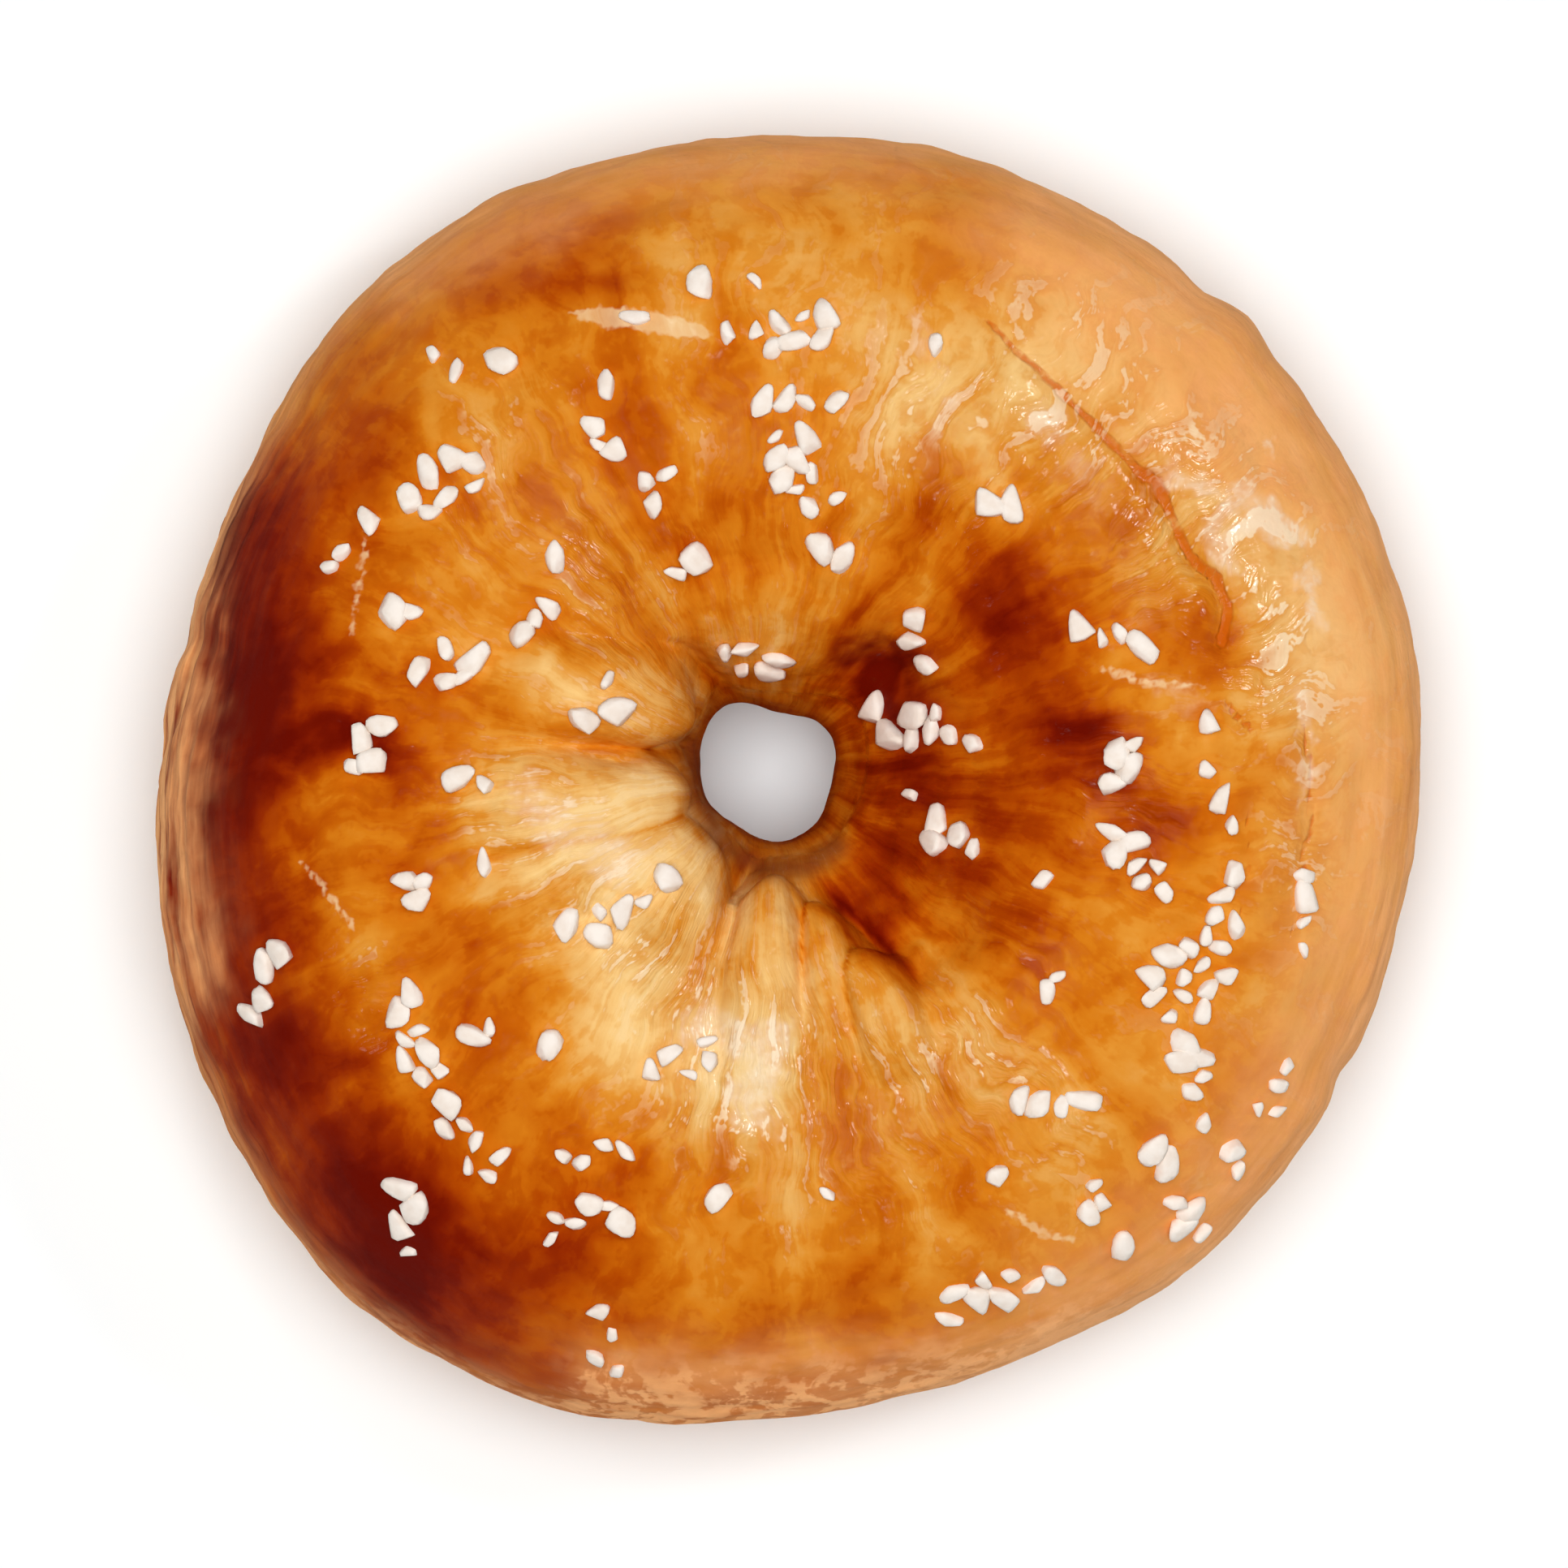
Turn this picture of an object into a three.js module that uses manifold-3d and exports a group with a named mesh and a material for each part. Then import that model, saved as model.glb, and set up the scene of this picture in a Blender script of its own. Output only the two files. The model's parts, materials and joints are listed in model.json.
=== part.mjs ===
// A salted bagel: one baked ring of dough with coarse salt grains stuck to its crown.
// Millimetres, +Z up. The origin is on the table, under the middle of the bagel's outline.
// A bearing is measured round the hole's middle, counterclockwise from +X. A turn is measured
// round the dough's cross-section: 0 points away from the hole, a quarter turn points up.

import * as THREE from "three";
import { mergeVertices } from "three/addons/utils/BufferGeometryUtils.js";
import Module from "manifold-3d";

// Driving dimensions
const RING_RADIUS = 55.3; // the hole's middle to the outside edge, on average
const HOLE_RADIUS = 5.9; // at the narrowest level of the hole
const CROWN_HEIGHT = 39.5; // the table to the top of the dough, on average
const GRAIN_LENGTH = 2.7; // an ordinary grain of salt

// Proportions of the cross-section
const WAIST_HEIGHT = 0.43 * CROWN_HEIGHT; // the level where the dough is widest
const BELLY_DEPTH = 1.13 * WAIST_HEIGHT; // how far the belly would hang without the table
const BELLY_FULLNESS = 2.4; // 2 is an ellipse, and more is squarer
const OUTER_FULLNESS = 2.15;
const INNER_FULLNESS = 2.3;
const BASE_ROUNDING = 1.2; // how softly the belly turns into the flat base
const HOLE_MIDDLE = new THREE.Vector2(-1.93, 0.42);

// Mesh of the dough, crowded towards the crown
const STEPS_ROUND = 61;
const STEPS_SECTION = 31;
const CROWDING = 0.35;

// Uneven shaping by hand: waves per lap, depth, and the bearing in degrees of the first crest
const OUTLINE_WAVES = [
  [1, 1.7, 332],
  [2, 1.35, 60],
  [3, 0.9, 111],
  [4, 0.45, 45],
  [5, 0.25, 34],
  [6, 0.27, 8],
];
const HOLE_WAVES = [
  [2, 0.28, 141],
  [3, 0.26, 29],
  [4, 0.3, 32],
  [5, 0.1, 49],
];
const CROWN_WAVES = [
  [1, 0.7, 215],
  [2, 0.5, 30],
  [3, 0.4, 85],
];
const INNER_FULLNESS_WAVES = [[1, 0.65, 205]];

// Knuckles (depth over 0) and dents in the outline: bearing and spread in degrees, depth
const RIM_KNUCKLES = [
  [43.5, 2.6, 0.6],
  [48.0, 2.0, -0.5],
  [-28.0, 2.0, -0.5],
  [167.0, 1.8, -0.5],
];

// Puffed lobes that meet in creases round the hole: the points along each from its full end
// to where it fades, its reach and its height
const LOBES = [
  { through: [[-12.4, 6.6], [-18.0, 7.4], [-26.0, 8.5]], reach: 4.5, height: 3.3 },
  { through: [[-13.4, -1.9], [-20.0, -2.4], [-29.0, -3.0]], reach: 4.8, height: 3.0 },
  { through: [[-9.6, -9.8], [-14.4, -5.6], [-27.0, -8.0]], reach: 5.6, height: 3.1 },
  { through: [[-1.4, -12.0], [-2.3, -16.6], [-2.8, -27.0]], reach: 3.4, height: 3.4 },
  { through: [[2.6, -12.5], [3.2, -15.5], [4.4, -24.0]], reach: 2.5, height: 2.5 },
  { through: [[7.2, -16.8], [10.0, -26.0]], reach: 3.2, height: 2.8 },
  { through: [[-4.0, 13.6], [3.6, 13.8], [6.0, 20.0]], reach: 5.0, height: 1.3 },
];

// Soft swells (height over 0) and hollows (under 0): the points along each, its reach and its height
const SWELLS = [
  { through: [[6.5, -9.0], [12.5, -13.0]], reach: 4.2, height: -2.4 }, // deep valley right of the lobes
  { through: [[7.3, 8.6]], reach: 3.4, height: -2.0 }, // dark hollow at the upper right of the hole
  { through: [[11.0, -1.0]], reach: 6.5, height: -1.2 }, // smooth funnel to the right
  { through: [[24.0, 22.0], [29.0, 15.0]], reach: 4.5, height: -0.7 }, // sunken skin inside the seam
  { through: [[29.5, -5.0]], reach: 4.0, height: -0.8 }, // dimple in the right of the crown
  { through: [[20.0, 44.0], [31.0, 35.0], [38.5, 26.0], [42.5, 15.0]], reach: 4.0, height: 0.45 },
];

// Creases and seams: the points along each, its depth, its width and its deepest place along it
const CREASES = [
  { through: [[-5.4, 7.2], [-7.0, 8.8], [-9.0, 10.6], [-12.5, 12.4]], depth: 2.0, width: 1.5, deepest: 0.1 },
  { through: [[-7.8, 2.4], [-9.3, 2.5], [-12.0, 1.9], [-19.0, 2.0]], depth: 1.8, width: 1.3, deepest: 0 },
  { through: [[-3.4, -6.6], [-4.4, -8.6], [-5.4, -10.6], [-6.0, -13.6]], depth: 2.6, width: 1.3, deepest: 0.3 },
  { through: [[0.6, -11.6], [1.1, -13.6], [1.3, -17.6]], depth: 0.9, width: 0.7, deepest: 0.3 },
  { through: [[2.2, -7.6], [4.0, -10.4], [9.6, -15.6], [12.0, -19.2]], depth: 2.6, width: 1.6, deepest: 0.5 },
  {
    through: [[16.9, 39.0], [21.3, 34.6], [26.6, 29.3], [31.6, 25.0], [34.3, 19.0], [37.4, 14.8], [37.1, 11.3]],
    depth: 1.3,
    width: 0.8,
    deepest: 0.75,
  },
  { through: [[43.9, 4.4], [44.6, -1.0], [44.0, -8.0], [42.9, -14.0]], depth: 0.5, width: 0.7, deepest: 0.3 },
];

// Handfuls of salt as they landed: x, y, grains, half the length, half the width, heading in degrees
const HANDFULS = [
  [-1.0, 38.2, 8, 6.0, 1.6, 5],
  [0.2, 32.0, 5, 4.4, 0.8, 0],
  [1.0, 26.0, 9, 4.2, 2.6, 130],
  [3.8, 19.0, 2, 2.2, 0.6, 150],
  [-7.5, 41.2, 3, 6.0, 0.9, 20],
  [-15.8, 28.8, 3, 1.6, 0.8, 120],
  [-11.5, 25.0, 3, 2.8, 0.9, 70],
  [-29.5, 25.0, 7, 4.0, 2.0, 30],
  [-38.0, 19.6, 3, 4.2, 0.7, 45],
  [-29.0, 35.2, 3, 5.0, 1.8, 10],
  [-15.8, 33.6, 1, 0.3, 0.3, 0],
  [-20.0, 18.7, 1, 0.3, 0.3, 0],
  [-8.0, 18.8, 2, 2.6, 0.6, 35],
  [-32.8, 13.9, 2, 1.0, 0.4, 0],
  [-21.6, 13.2, 3, 2.2, 0.8, 60],
  [-29.5, 9.4, 6, 4.2, 1.6, 10],
  [-35.2, 2.7, 4, 3.6, 1.5, 30],
  [-17.5, 6.0, 3, 3.4, 1.2, 70],
  [-3.3, 10.6, 6, 3.2, 1.4, 170],
  [-27.0, -0.4, 2, 1.8, 0.4, 160],
  [-31.8, -9.3, 4, 1.8, 1.2, 160],
  [-26.0, -7.6, 1, 0.3, 0.3, 0],
  [-15.0, -12.0, 6, 5.0, 1.5, 20],
  [-44.5, -17.0, 4, 3.6, 0.7, 65],
  [-32.0, -21.8, 8, 4.4, 1.8, 115],
  [-25.8, -21.5, 3, 1.8, 0.6, 50],
  [-20.1, -22.7, 2, 1.0, 0.4, 20],
  [-9.8, -24.0, 5, 4.2, 1.7, 10],
  [-27.2, -30.6, 7, 4.0, 2.0, 130],
  [-17.5, -32.0, 4, 4.6, 1.0, 0],
  [-33.0, -37.6, 4, 4.4, 1.4, 80],
  [-17.2, -37.6, 6, 3.6, 2.0, 20],
  [-16.0, -47.6, 4, 3.6, 1.2, 105],
  [-5.8, -35.4, 1, 0.3, 0.3, 0],
  [3.4, -35.3, 1, 0.3, 0.3, 0],
  [11.2, 4.2, 8, 6.0, 1.8, 170],
  [10.8, 10.6, 3, 3.8, 0.7, 100],
  [12.4, -4.0, 5, 5.4, 2.0, 130],
  [12.3, 37.0, 1, 0.3, 0.3, 0],
  [16.6, 22.8, 2, 2.8, 0.4, 15],
  [27.6, 11.9, 4, 3.8, 0.8, 165],
  [28.2, 1.5, 4, 3.2, 1.2, 60],
  [29.3, -6.8, 8, 4.6, 1.3, 130],
  [21.8, -8.7, 1, 0.3, 0.3, 0],
  [36.2, 2.0, 4, 6.6, 1.6, 100],
  [36.8, -11.2, 6, 3.6, 1.5, 80],
  [43.8, -11.2, 4, 3.6, 0.6, 90],
  [33.8, -17.4, 12, 4.2, 2.8, 40],
  [34.3, -25.2, 6, 4.4, 0.9, 100],
  [22.9, -17.2, 2, 1.8, 0.5, 45],
  [21.0, -27.2, 4, 4.6, 1.0, 175],
  [41.8, -26.8, 4, 3.0, 1.2, 60],
  [31.2, -32.0, 3, 1.5, 0.6, 150],
  [38.4, -33.2, 2, 1.7, 0.4, 115],
  [17.7, -33.8, 1, 0.3, 0.3, 0],
  [25.6, -36.0, 4, 1.8, 1.0, 60],
  [34.2, -37.8, 4, 3.0, 0.8, 140],
  [18.4, -43.2, 8, 4.6, 1.1, 10],
  [28.8, -40.4, 2, 1.0, 0.4, 140],
  [13.2, -46.0, 2, 0.9, 0.4, 10],
];
const GRAIN_SPACING = 1.5; // the least distance between the middles of two grains
const GRAIN_SINK = 0.32; // share of a grain's thickness that is baked into the crust
const SALT_SEED = 20;

const CRUST_LOOK = { color: 0xcf7a25, roughness: 0.38, metalness: 0 };

const radians = THREE.MathUtils.degToRad;

// The same draws in the same order each run, from 0 to 1.
function seededDraws(seed) {
  let state = seed;
  return () => {
    state = (Math.imul(state, 1664525) + 1013904223) >>> 0;
    return state / 2 ** 32;
  };
}

function wavesAt(waves, bearing) {
  return waves.reduce(
    (sum, [count, depth, crest]) => sum + depth * Math.cos(count * (bearing - radians(crest))),
    0,
  );
}

// The larger of value and 0, with the corner rounded over the given softness.
function softFloor(value, softness) {
  const blend = THREE.MathUtils.clamp(0.5 + value / (2 * softness), 0, 1);
  return value * blend + softness * blend * (1 - blend);
}

// The ring's cross-section at a bearing: its middle, half its width, its crown and its inner fullness.
function sectionAt(bearing) {
  const outside = RING_RADIUS + wavesAt(OUTLINE_WAVES, bearing);
  const hole = HOLE_RADIUS + wavesAt(HOLE_WAVES, bearing);
  return {
    middle: (outside + hole) / 2,
    halfWidth: (outside - hole) / 2,
    rise: CROWN_HEIGHT + wavesAt(CROWN_WAVES, bearing) - WAIST_HEIGHT,
    innerFullness: INNER_FULLNESS + wavesAt(INNER_FULLNESS_WAVES, bearing),
  };
}

// How far a plan point is from a line through points, and how far along the line that is, from 0 to 1.
function nearestOn(points, x, y) {
  const found = { distance: Math.hypot(x - points[0][0], y - points[0][1]), along: 0 };
  for (let i = 0; i + 1 < points.length; i++) {
    const [ax, ay] = points[i];
    const [dx, dy] = [points[i + 1][0] - ax, points[i + 1][1] - ay];
    const share = THREE.MathUtils.clamp(((x - ax) * dx + (y - ay) * dy) / (dx * dx + dy * dy), 0, 1);
    const distance = Math.hypot(x - ax - share * dx, y - ay - share * dy);
    if (distance < found.distance) Object.assign(found, { distance, along: (i + share) / (points.length - 1) });
  }
  return found;
}

// How far the crust stands out of the smooth ring at a plan point. The highest lobe counts,
// so that neighbours meet in a crease.
function reliefAt(x, y) {
  let relief = 0;
  for (const { through, reach, height } of LOBES) {
    const { distance, along } = nearestOn(through, x, y);
    relief = Math.max(relief, height * (1 - along ** 2) * softFloor(1 - (distance / reach) ** 3, 0.2));
  }
  for (const { through, reach, height } of SWELLS)
    relief += height * Math.exp(-((nearestOn(through, x, y).distance / reach) ** 2));
  for (const { through, depth, width, deepest } of CREASES) {
    const { distance, along } = nearestOn(through, x, y);
    const fade = 1 - 0.85 * (Math.abs(along - deepest) / Math.max(deepest, 1 - deepest)) ** 2;
    relief -= depth * fade * Math.exp(-distance / width);
  }
  return relief;
}

// How far the outline's knuckles stand out at a bearing.
function knucklesAt(bearing) {
  return RIM_KNUCKLES.reduce((sum, [middle, spread, depth]) => {
    const apart = THREE.MathUtils.euclideanModulo(bearing - radians(middle) + Math.PI, 2 * Math.PI) - Math.PI;
    return sum + depth * Math.exp(-((apart / radians(spread)) ** 2));
  }, 0);
}

// A point of the crust.
function crustPoint(bearing, turn) {
  const { middle, halfWidth, rise, innerFullness } = sectionAt(bearing);
  const [across, up] = [Math.cos(turn), Math.sin(turn)];
  const fullness = up < 0 ? BELLY_FULLNESS : across < 0 ? innerFullness : OUTER_FULLNESS;
  const swelling = (Math.abs(across) ** fullness + Math.abs(up) ** fullness) ** (-1 / fullness);
  const radius = middle + halfWidth * swelling * across;
  const height = WAIST_HEIGHT + (up < 0 ? BELLY_DEPTH : rise) * swelling * up;
  const [cos, sin] = [Math.cos(bearing), Math.sin(bearing)];
  const [x, y] = [HOLE_MIDDLE.x + radius * cos, HOLE_MIDDLE.y + radius * sin];
  const relief =
    THREE.MathUtils.smoothstep(swelling * up, 0, 0.3) * reliefAt(x, y) +
    knucklesAt(bearing) * Math.exp(-((turn / 0.7) ** 2));
  const facing = new THREE.Vector2(across / halfWidth, up / rise).normalize().multiplyScalar(relief);
  const reach = radius + facing.x;
  return new THREE.Vector3(
    HOLE_MIDDLE.x + reach * cos,
    HOLE_MIDDLE.y + reach * sin,
    softFloor(height + facing.y, BASE_ROUNDING),
  );
}

// The crust over a plan point, with the direction that it faces.
function crownAt(x, y) {
  const [dx, dy] = [x - HOLE_MIDDLE.x, y - HOLE_MIDDLE.y];
  const bearing = Math.atan2(dy, dx);
  const { middle, halfWidth, innerFullness } = sectionAt(bearing);
  const share = THREE.MathUtils.clamp((Math.hypot(dx, dy) - middle) / halfWidth, -0.999, 0.999);
  const fullness = share < 0 ? innerFullness : OUTER_FULLNESS;
  const turn = Math.atan2((1 - Math.abs(share) ** fullness) ** (1 / fullness), share);
  const step = 0.01;
  const point = crustPoint(bearing, turn);
  const round = crustPoint(bearing + step, turn).sub(crustPoint(bearing - step, turn));
  const over = crustPoint(bearing, turn + step).sub(crustPoint(bearing, turn - step));
  return { point, normal: round.cross(over).normalize() };
}

function solidOf(wasm, geometry) {
  const bare = geometry.index ? geometry.clone() : geometry;
  bare.deleteAttribute("normal");
  bare.deleteAttribute("uv");
  const merged = mergeVertices(bare, 1e-4);
  return new wasm.Manifold(
    new wasm.Mesh({
      numProp: 3,
      vertProperties: merged.attributes.position.array,
      triVerts: new Uint32Array(merged.index.array),
    }),
  );
}

// The ring of dough: a torus whose points are moved onto the crust.
function doughGeometry() {
  const guide = new THREE.TorusGeometry(2, 1, STEPS_SECTION, STEPS_ROUND);
  const position = guide.attributes.position;
  for (let i = 0; i < position.count; i++) {
    const [x, y, z] = [position.getX(i), position.getY(i), position.getZ(i)];
    const turn = Math.atan2(z, Math.hypot(x, y) - 2);
    const point = crustPoint(Math.atan2(y, x), turn + CROWDING * Math.cos(turn));
    position.setXYZ(i, point.x, point.y, point.z);
  }
  return guide;
}

// Where each grain lies: its middle in plan, its length, width and thickness, its heading and its corners.
function drawGrains() {
  const draw = seededDraws(SALT_SEED);
  const grains = [];
  for (const [x, y, count, halfLength, halfWidth, heading] of HANDFULS) {
    const [cos, sin] = [Math.cos(radians(heading)), Math.sin(radians(heading))];
    for (let placed = 0, tries = 0; placed < count && tries < 40; tries++) {
      const [spin, reach] = [2 * Math.PI * draw(), Math.sqrt(draw())];
      const [along, aside] = [halfLength * reach * Math.cos(spin), halfWidth * reach * Math.sin(spin)];
      const spot = new THREE.Vector2(x + along * cos - aside * sin, y + along * sin + aside * cos);
      if (grains.some((other) => other.spot.distanceTo(spot) < GRAIN_SPACING)) continue;
      const length = GRAIN_LENGTH * (0.65 + 0.7 * draw() ** 1.3);
      const width = length * (0.5 + 0.4 * draw());
      const thickness = 0.9 * width ** 0.5;
      const turned = Math.PI * draw();
      const corners = Array.from({ length: 8 }, () => [draw(), draw(), draw()].map((v) => 0.5 * v));
      grains.push({ spot, size: new THREE.Vector3(length, width, thickness), turned, corners });
      placed++;
    }
  }
  return grains;
}

// One grain: a lump with eight pulled-in corners, lying on the crust and sunk into it a little.
function grainGeometry({ spot, size, turned, corners }) {
  const lump = new THREE.BoxGeometry(1, 1, 1);
  const position = lump.attributes.position;
  for (let i = 0; i < position.count; i++) {
    const [x, y, z] = [position.getX(i), position.getY(i), position.getZ(i)];
    const pull = corners[(x > 0 ? 4 : 0) + (y > 0 ? 2 : 0) + (z > 0 ? 1 : 0)];
    position.setXYZ(i, x * (1 - pull[0]), y * (1 - pull[1]), z * (1 - 0.6 * pull[2]));
  }
  const { point, normal } = crownAt(spot.x, spot.y);
  const lying = new THREE.Quaternion().setFromUnitVectors(new THREE.Vector3(0, 0, 1), normal);
  lying.multiply(new THREE.Quaternion().setFromAxisAngle(new THREE.Vector3(0, 0, 1), turned));
  point.addScaledVector(normal, size.z * (0.5 - GRAIN_SINK));
  return lump.applyMatrix4(new THREE.Matrix4().compose(point, lying, size));
}

const wasm = await Module();
wasm.setup();

// The largest shell alone: a tiny gap that grains close off between them and the dough is filled.
const grains = drawGrains().map((grain) => solidOf(wasm, grainGeometry(grain)));
const shells = wasm.Manifold.union([solidOf(wasm, doughGeometry()), ...grains]).decompose();
const salted = shells.reduce((kept, shell) => (shell.volume() > kept.volume() ? shell : kept)).getMesh();
const bagelGeometry = new THREE.BufferGeometry()
  .setAttribute("position", new THREE.BufferAttribute(salted.vertProperties, 3))
  .setIndex(new THREE.BufferAttribute(salted.triVerts, 1));
bagelGeometry.computeVertexNormals();

const bagel = new THREE.Mesh(bagelGeometry, new THREE.MeshStandardMaterial(CRUST_LOOK));
bagel.name = "bagel";

const part = new THREE.Group();
part.add(bagel);

export default part;
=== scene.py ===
import json
import math

import bmesh
import bpy
import numpy as np
from mathutils import Matrix, Vector, noise


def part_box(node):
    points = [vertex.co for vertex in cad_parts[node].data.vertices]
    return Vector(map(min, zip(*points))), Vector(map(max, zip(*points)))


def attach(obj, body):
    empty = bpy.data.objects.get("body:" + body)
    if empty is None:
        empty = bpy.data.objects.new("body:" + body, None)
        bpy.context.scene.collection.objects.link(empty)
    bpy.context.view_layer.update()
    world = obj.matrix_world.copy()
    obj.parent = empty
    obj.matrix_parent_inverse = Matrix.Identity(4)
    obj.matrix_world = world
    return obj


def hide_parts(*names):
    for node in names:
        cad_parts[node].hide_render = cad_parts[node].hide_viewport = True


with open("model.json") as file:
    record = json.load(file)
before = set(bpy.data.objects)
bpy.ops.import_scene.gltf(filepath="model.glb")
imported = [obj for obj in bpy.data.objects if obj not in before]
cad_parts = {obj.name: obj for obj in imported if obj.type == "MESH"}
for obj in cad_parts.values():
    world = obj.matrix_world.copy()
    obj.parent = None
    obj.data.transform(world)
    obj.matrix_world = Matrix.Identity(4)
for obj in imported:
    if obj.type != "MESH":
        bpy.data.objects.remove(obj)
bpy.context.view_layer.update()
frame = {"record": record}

# The frame gives the size: MM is one millimetre of a bagel of the length below, and the tables that follow
# are in millimetres.
LOW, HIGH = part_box("bagel")
OUTLINE_LENGTH = 110.8
MM = (HIGH.y - LOW.y) / OUTLINE_LENGTH
HOLE_BOX = np.array(frame["record"]["physics"]["openings"][0]["box_m"]) / MM
HOLE_MIDDLE = HOLE_BOX.mean(axis=0)[:2]

# Cross-section of the dough ring. A bearing runs round the hole, and a turn round the section:
# 0 points away from the hole, a quarter turn up. A fullness of 2 is a plain ellipse, and more is squarer.
RING_RADIUS = 55.3
HOLE_RADIUS = 5.9
CROWN_HEIGHT = 39.5
WAIST_HEIGHT = 0.43 * CROWN_HEIGHT
BELLY_DEPTH = 1.13 * WAIST_HEIGHT
BELLY_FULLNESS = 2.4
OUTER_FULLNESS = 2.15
INNER_FULLNESS = 2.3
BASE_ROUNDING = 1.2

# Mesh of the crust: a plain ring whose edges are each cut in five, with points crowded towards the crown
PLAIN_RADIUS = 2.0
STEPS_ROUND = 86
STEPS_SECTION = 45
CUTS = 4
CROWDING = 0.35

# Uneven shaping: waves per lap, depth, and the bearing in degrees of the first crest
OUTLINE_WAVES = [(1, 1.7, 332), (2, 1.35, 60), (3, 0.9, 111), (4, 0.45, 45), (5, 0.25, 34), (6, 0.27, 8)]
HOLE_WAVES = [(2, 0.28, 141), (3, 0.26, 29), (4, 0.3, 32), (5, 0.1, 49)]
CROWN_WAVES = [(1, 0.7, 215), (2, 0.5, 30), (3, 0.4, 85)]
INNER_FULLNESS_WAVES = [(1, 0.65, 205)]

# Knuckles (height over 0) and dents of the rim: bearing and spread in degrees, and height
RIM_KNUCKLES = [(43.5, 2.6, 0.6), (48.0, 2.0, -0.5), (-28.0, 2.0, -0.5), (167.0, 1.8, -0.5)]
KNUCKLE_TURN = 0.7

# Puffed lobes that meet in creases round the hole: the points along each, from its full end to where it
# fades, its reach and its height
LOBES = [
    ([(-12.4, 6.6), (-18.0, 7.4), (-26.0, 8.5)], 4.5, 3.3),
    ([(-13.4, -1.9), (-20.0, -2.4), (-29.0, -3.0)], 4.8, 3.0),
    ([(-9.6, -9.8), (-14.4, -5.6), (-27.0, -8.0)], 5.6, 3.1),
    ([(-1.4, -12.0), (-2.3, -16.6), (-2.8, -27.0)], 3.4, 3.4),
    ([(2.6, -12.5), (3.2, -15.5), (4.4, -24.0)], 2.5, 2.5),
    ([(7.2, -16.8), (10.0, -26.0)], 3.2, 2.8),
    ([(-4.0, 13.6), (3.6, 13.8), (6.0, 20.0)], 5.0, 1.3),
]

# How softly a lobe's foot ends, as a share of its height, and where two lobes count as meeting: how little
# they differ in height, and between which heights of the lower one
FOOT_SOFTNESS = 0.2
MEETING_DIFFERENCE = 0.35
MEETING_HEIGHTS = (0.1, 0.6)

# Soft swells (height over 0) and hollows (under 0): the points along each, its reach and its height
SWELLS = [
    ([(6.5, -9.0), (12.5, -13.0)], 4.2, -2.4),
    ([(7.3, 8.6)], 3.4, -2.0),
    ([(11.0, -1.0)], 6.5, -1.2),
    ([(24.0, 22.0), (29.0, 15.0)], 4.5, -0.7),
    ([(29.5, -5.0)], 4.0, -0.8),
    ([(20.0, 44.0), (31.0, 35.0), (38.5, 26.0), (42.5, 15.0)], 4.0, 0.45),
]

# Creases: the points along each, its depth, its width, half the width of the cut in its bottom,
# and its deepest place along it, from 0 to 1
CREASES = [
    ([(-5.4, 7.2), (-7.0, 8.8), (-9.0, 10.6), (-12.5, 12.4)], 2.0, 1.5, 0.0, 0.1),
    ([(-7.8, 2.4), (-9.3, 2.5), (-12.0, 1.9), (-16.3, 1.5), (-19.0, 2.0)], 1.8, 1.3, 0.0, 0.0),
    ([(-3.4, -6.6), (-4.4, -8.6), (-5.4, -10.6), (-6.0, -13.6)], 2.6, 1.3, 0.0, 0.3),
    ([(0.6, -11.6), (1.1, -13.6), (1.3, -17.6)], 0.9, 0.7, 0.0, 0.3),
    ([(2.2, -7.6), (4.0, -10.4), (6.9, -12.9), (9.6, -15.6), (12.0, -19.2)], 2.6, 1.6, 0.0, 0.5),
    ([(-18.9, -8.5), (-16.0, -8.9), (-13.7, -9.2)], 0.4, 0.4, 0.0, 0.5),
    (
        [
            (16.9, 39.0), (21.3, 34.6), (26.6, 29.3), (29.5, 26.6), (31.6, 25.0), (32.3, 22.0),
            (34.3, 19.0), (36.3, 16.9), (37.4, 14.8), (37.1, 11.3),
        ],
        1.2, 0.7, 0.5, 0.75,
    ),
    ([(37.2, 6.6), (39.7, 3.4)], 0.6, 0.5, 0.3, 0.5),
    ([(43.9, 4.4), (44.6, -1.0), (44.0, -8.0), (42.9, -14.0)], 0.5, 0.7, 0.2, 0.3),
    ([(39.0, -2.0), (39.2, -7.0), (38.3, -12.0)], 0.4, 0.6, 0.1, 0.5),
]

# How much of its depth a crease loses at its far end, the share of this loss that the width of its cut has
# too, and how far the crease is drawn astray
END_LOSS = 0.85
WIDTH_LOSS = 0.7
STRAY_SIZE = 2.6
STRAY = 0.45

# Lobes, swells and creases fade in above the waist: the share of the way up where they are whole
RELIEF_WHOLE = 0.3

# The skin's unevenness: the size of each kind, how high it stands, and how its wrinkles are drawn astray
LUMP_SIZE = 11.0
LUMP_HEIGHT = 0.45
SMALL_LUMP_SIZE = 4.0
SMALL_LUMP_HEIGHT = 0.14
BLISTER_SIZE = 1.6
BLISTER_HEIGHT = 0.12
PLAIN_BLISTERS = 0.2
RADIAL_HEIGHT = 0.4
RIM_WRINKLE_HEIGHT = 0.6
WARP_SIZE = 6.0
WARP = 0.5

# How fine the wrinkles are, in cells a radian round the hole and over the section
RADIAL_CELLS = (17.0, 2.4)
RIM_CELLS = (5.0, 15.0)
FAN_CELLS = (7.0, 1.5)

# Where wrinkles run out from the hole and where blisters crowd: a bearing and its spread in degrees,
# a radius and its spread, and the strength
RADIAL_WRINKLES = [(283, 45, 24, 11, 1.0), (130, 40, 24, 10, 0.4), (45, 30, 31, 9, 0.5)]
BLISTERED = [(32, 26, 40, 8, 1.0)]

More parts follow.
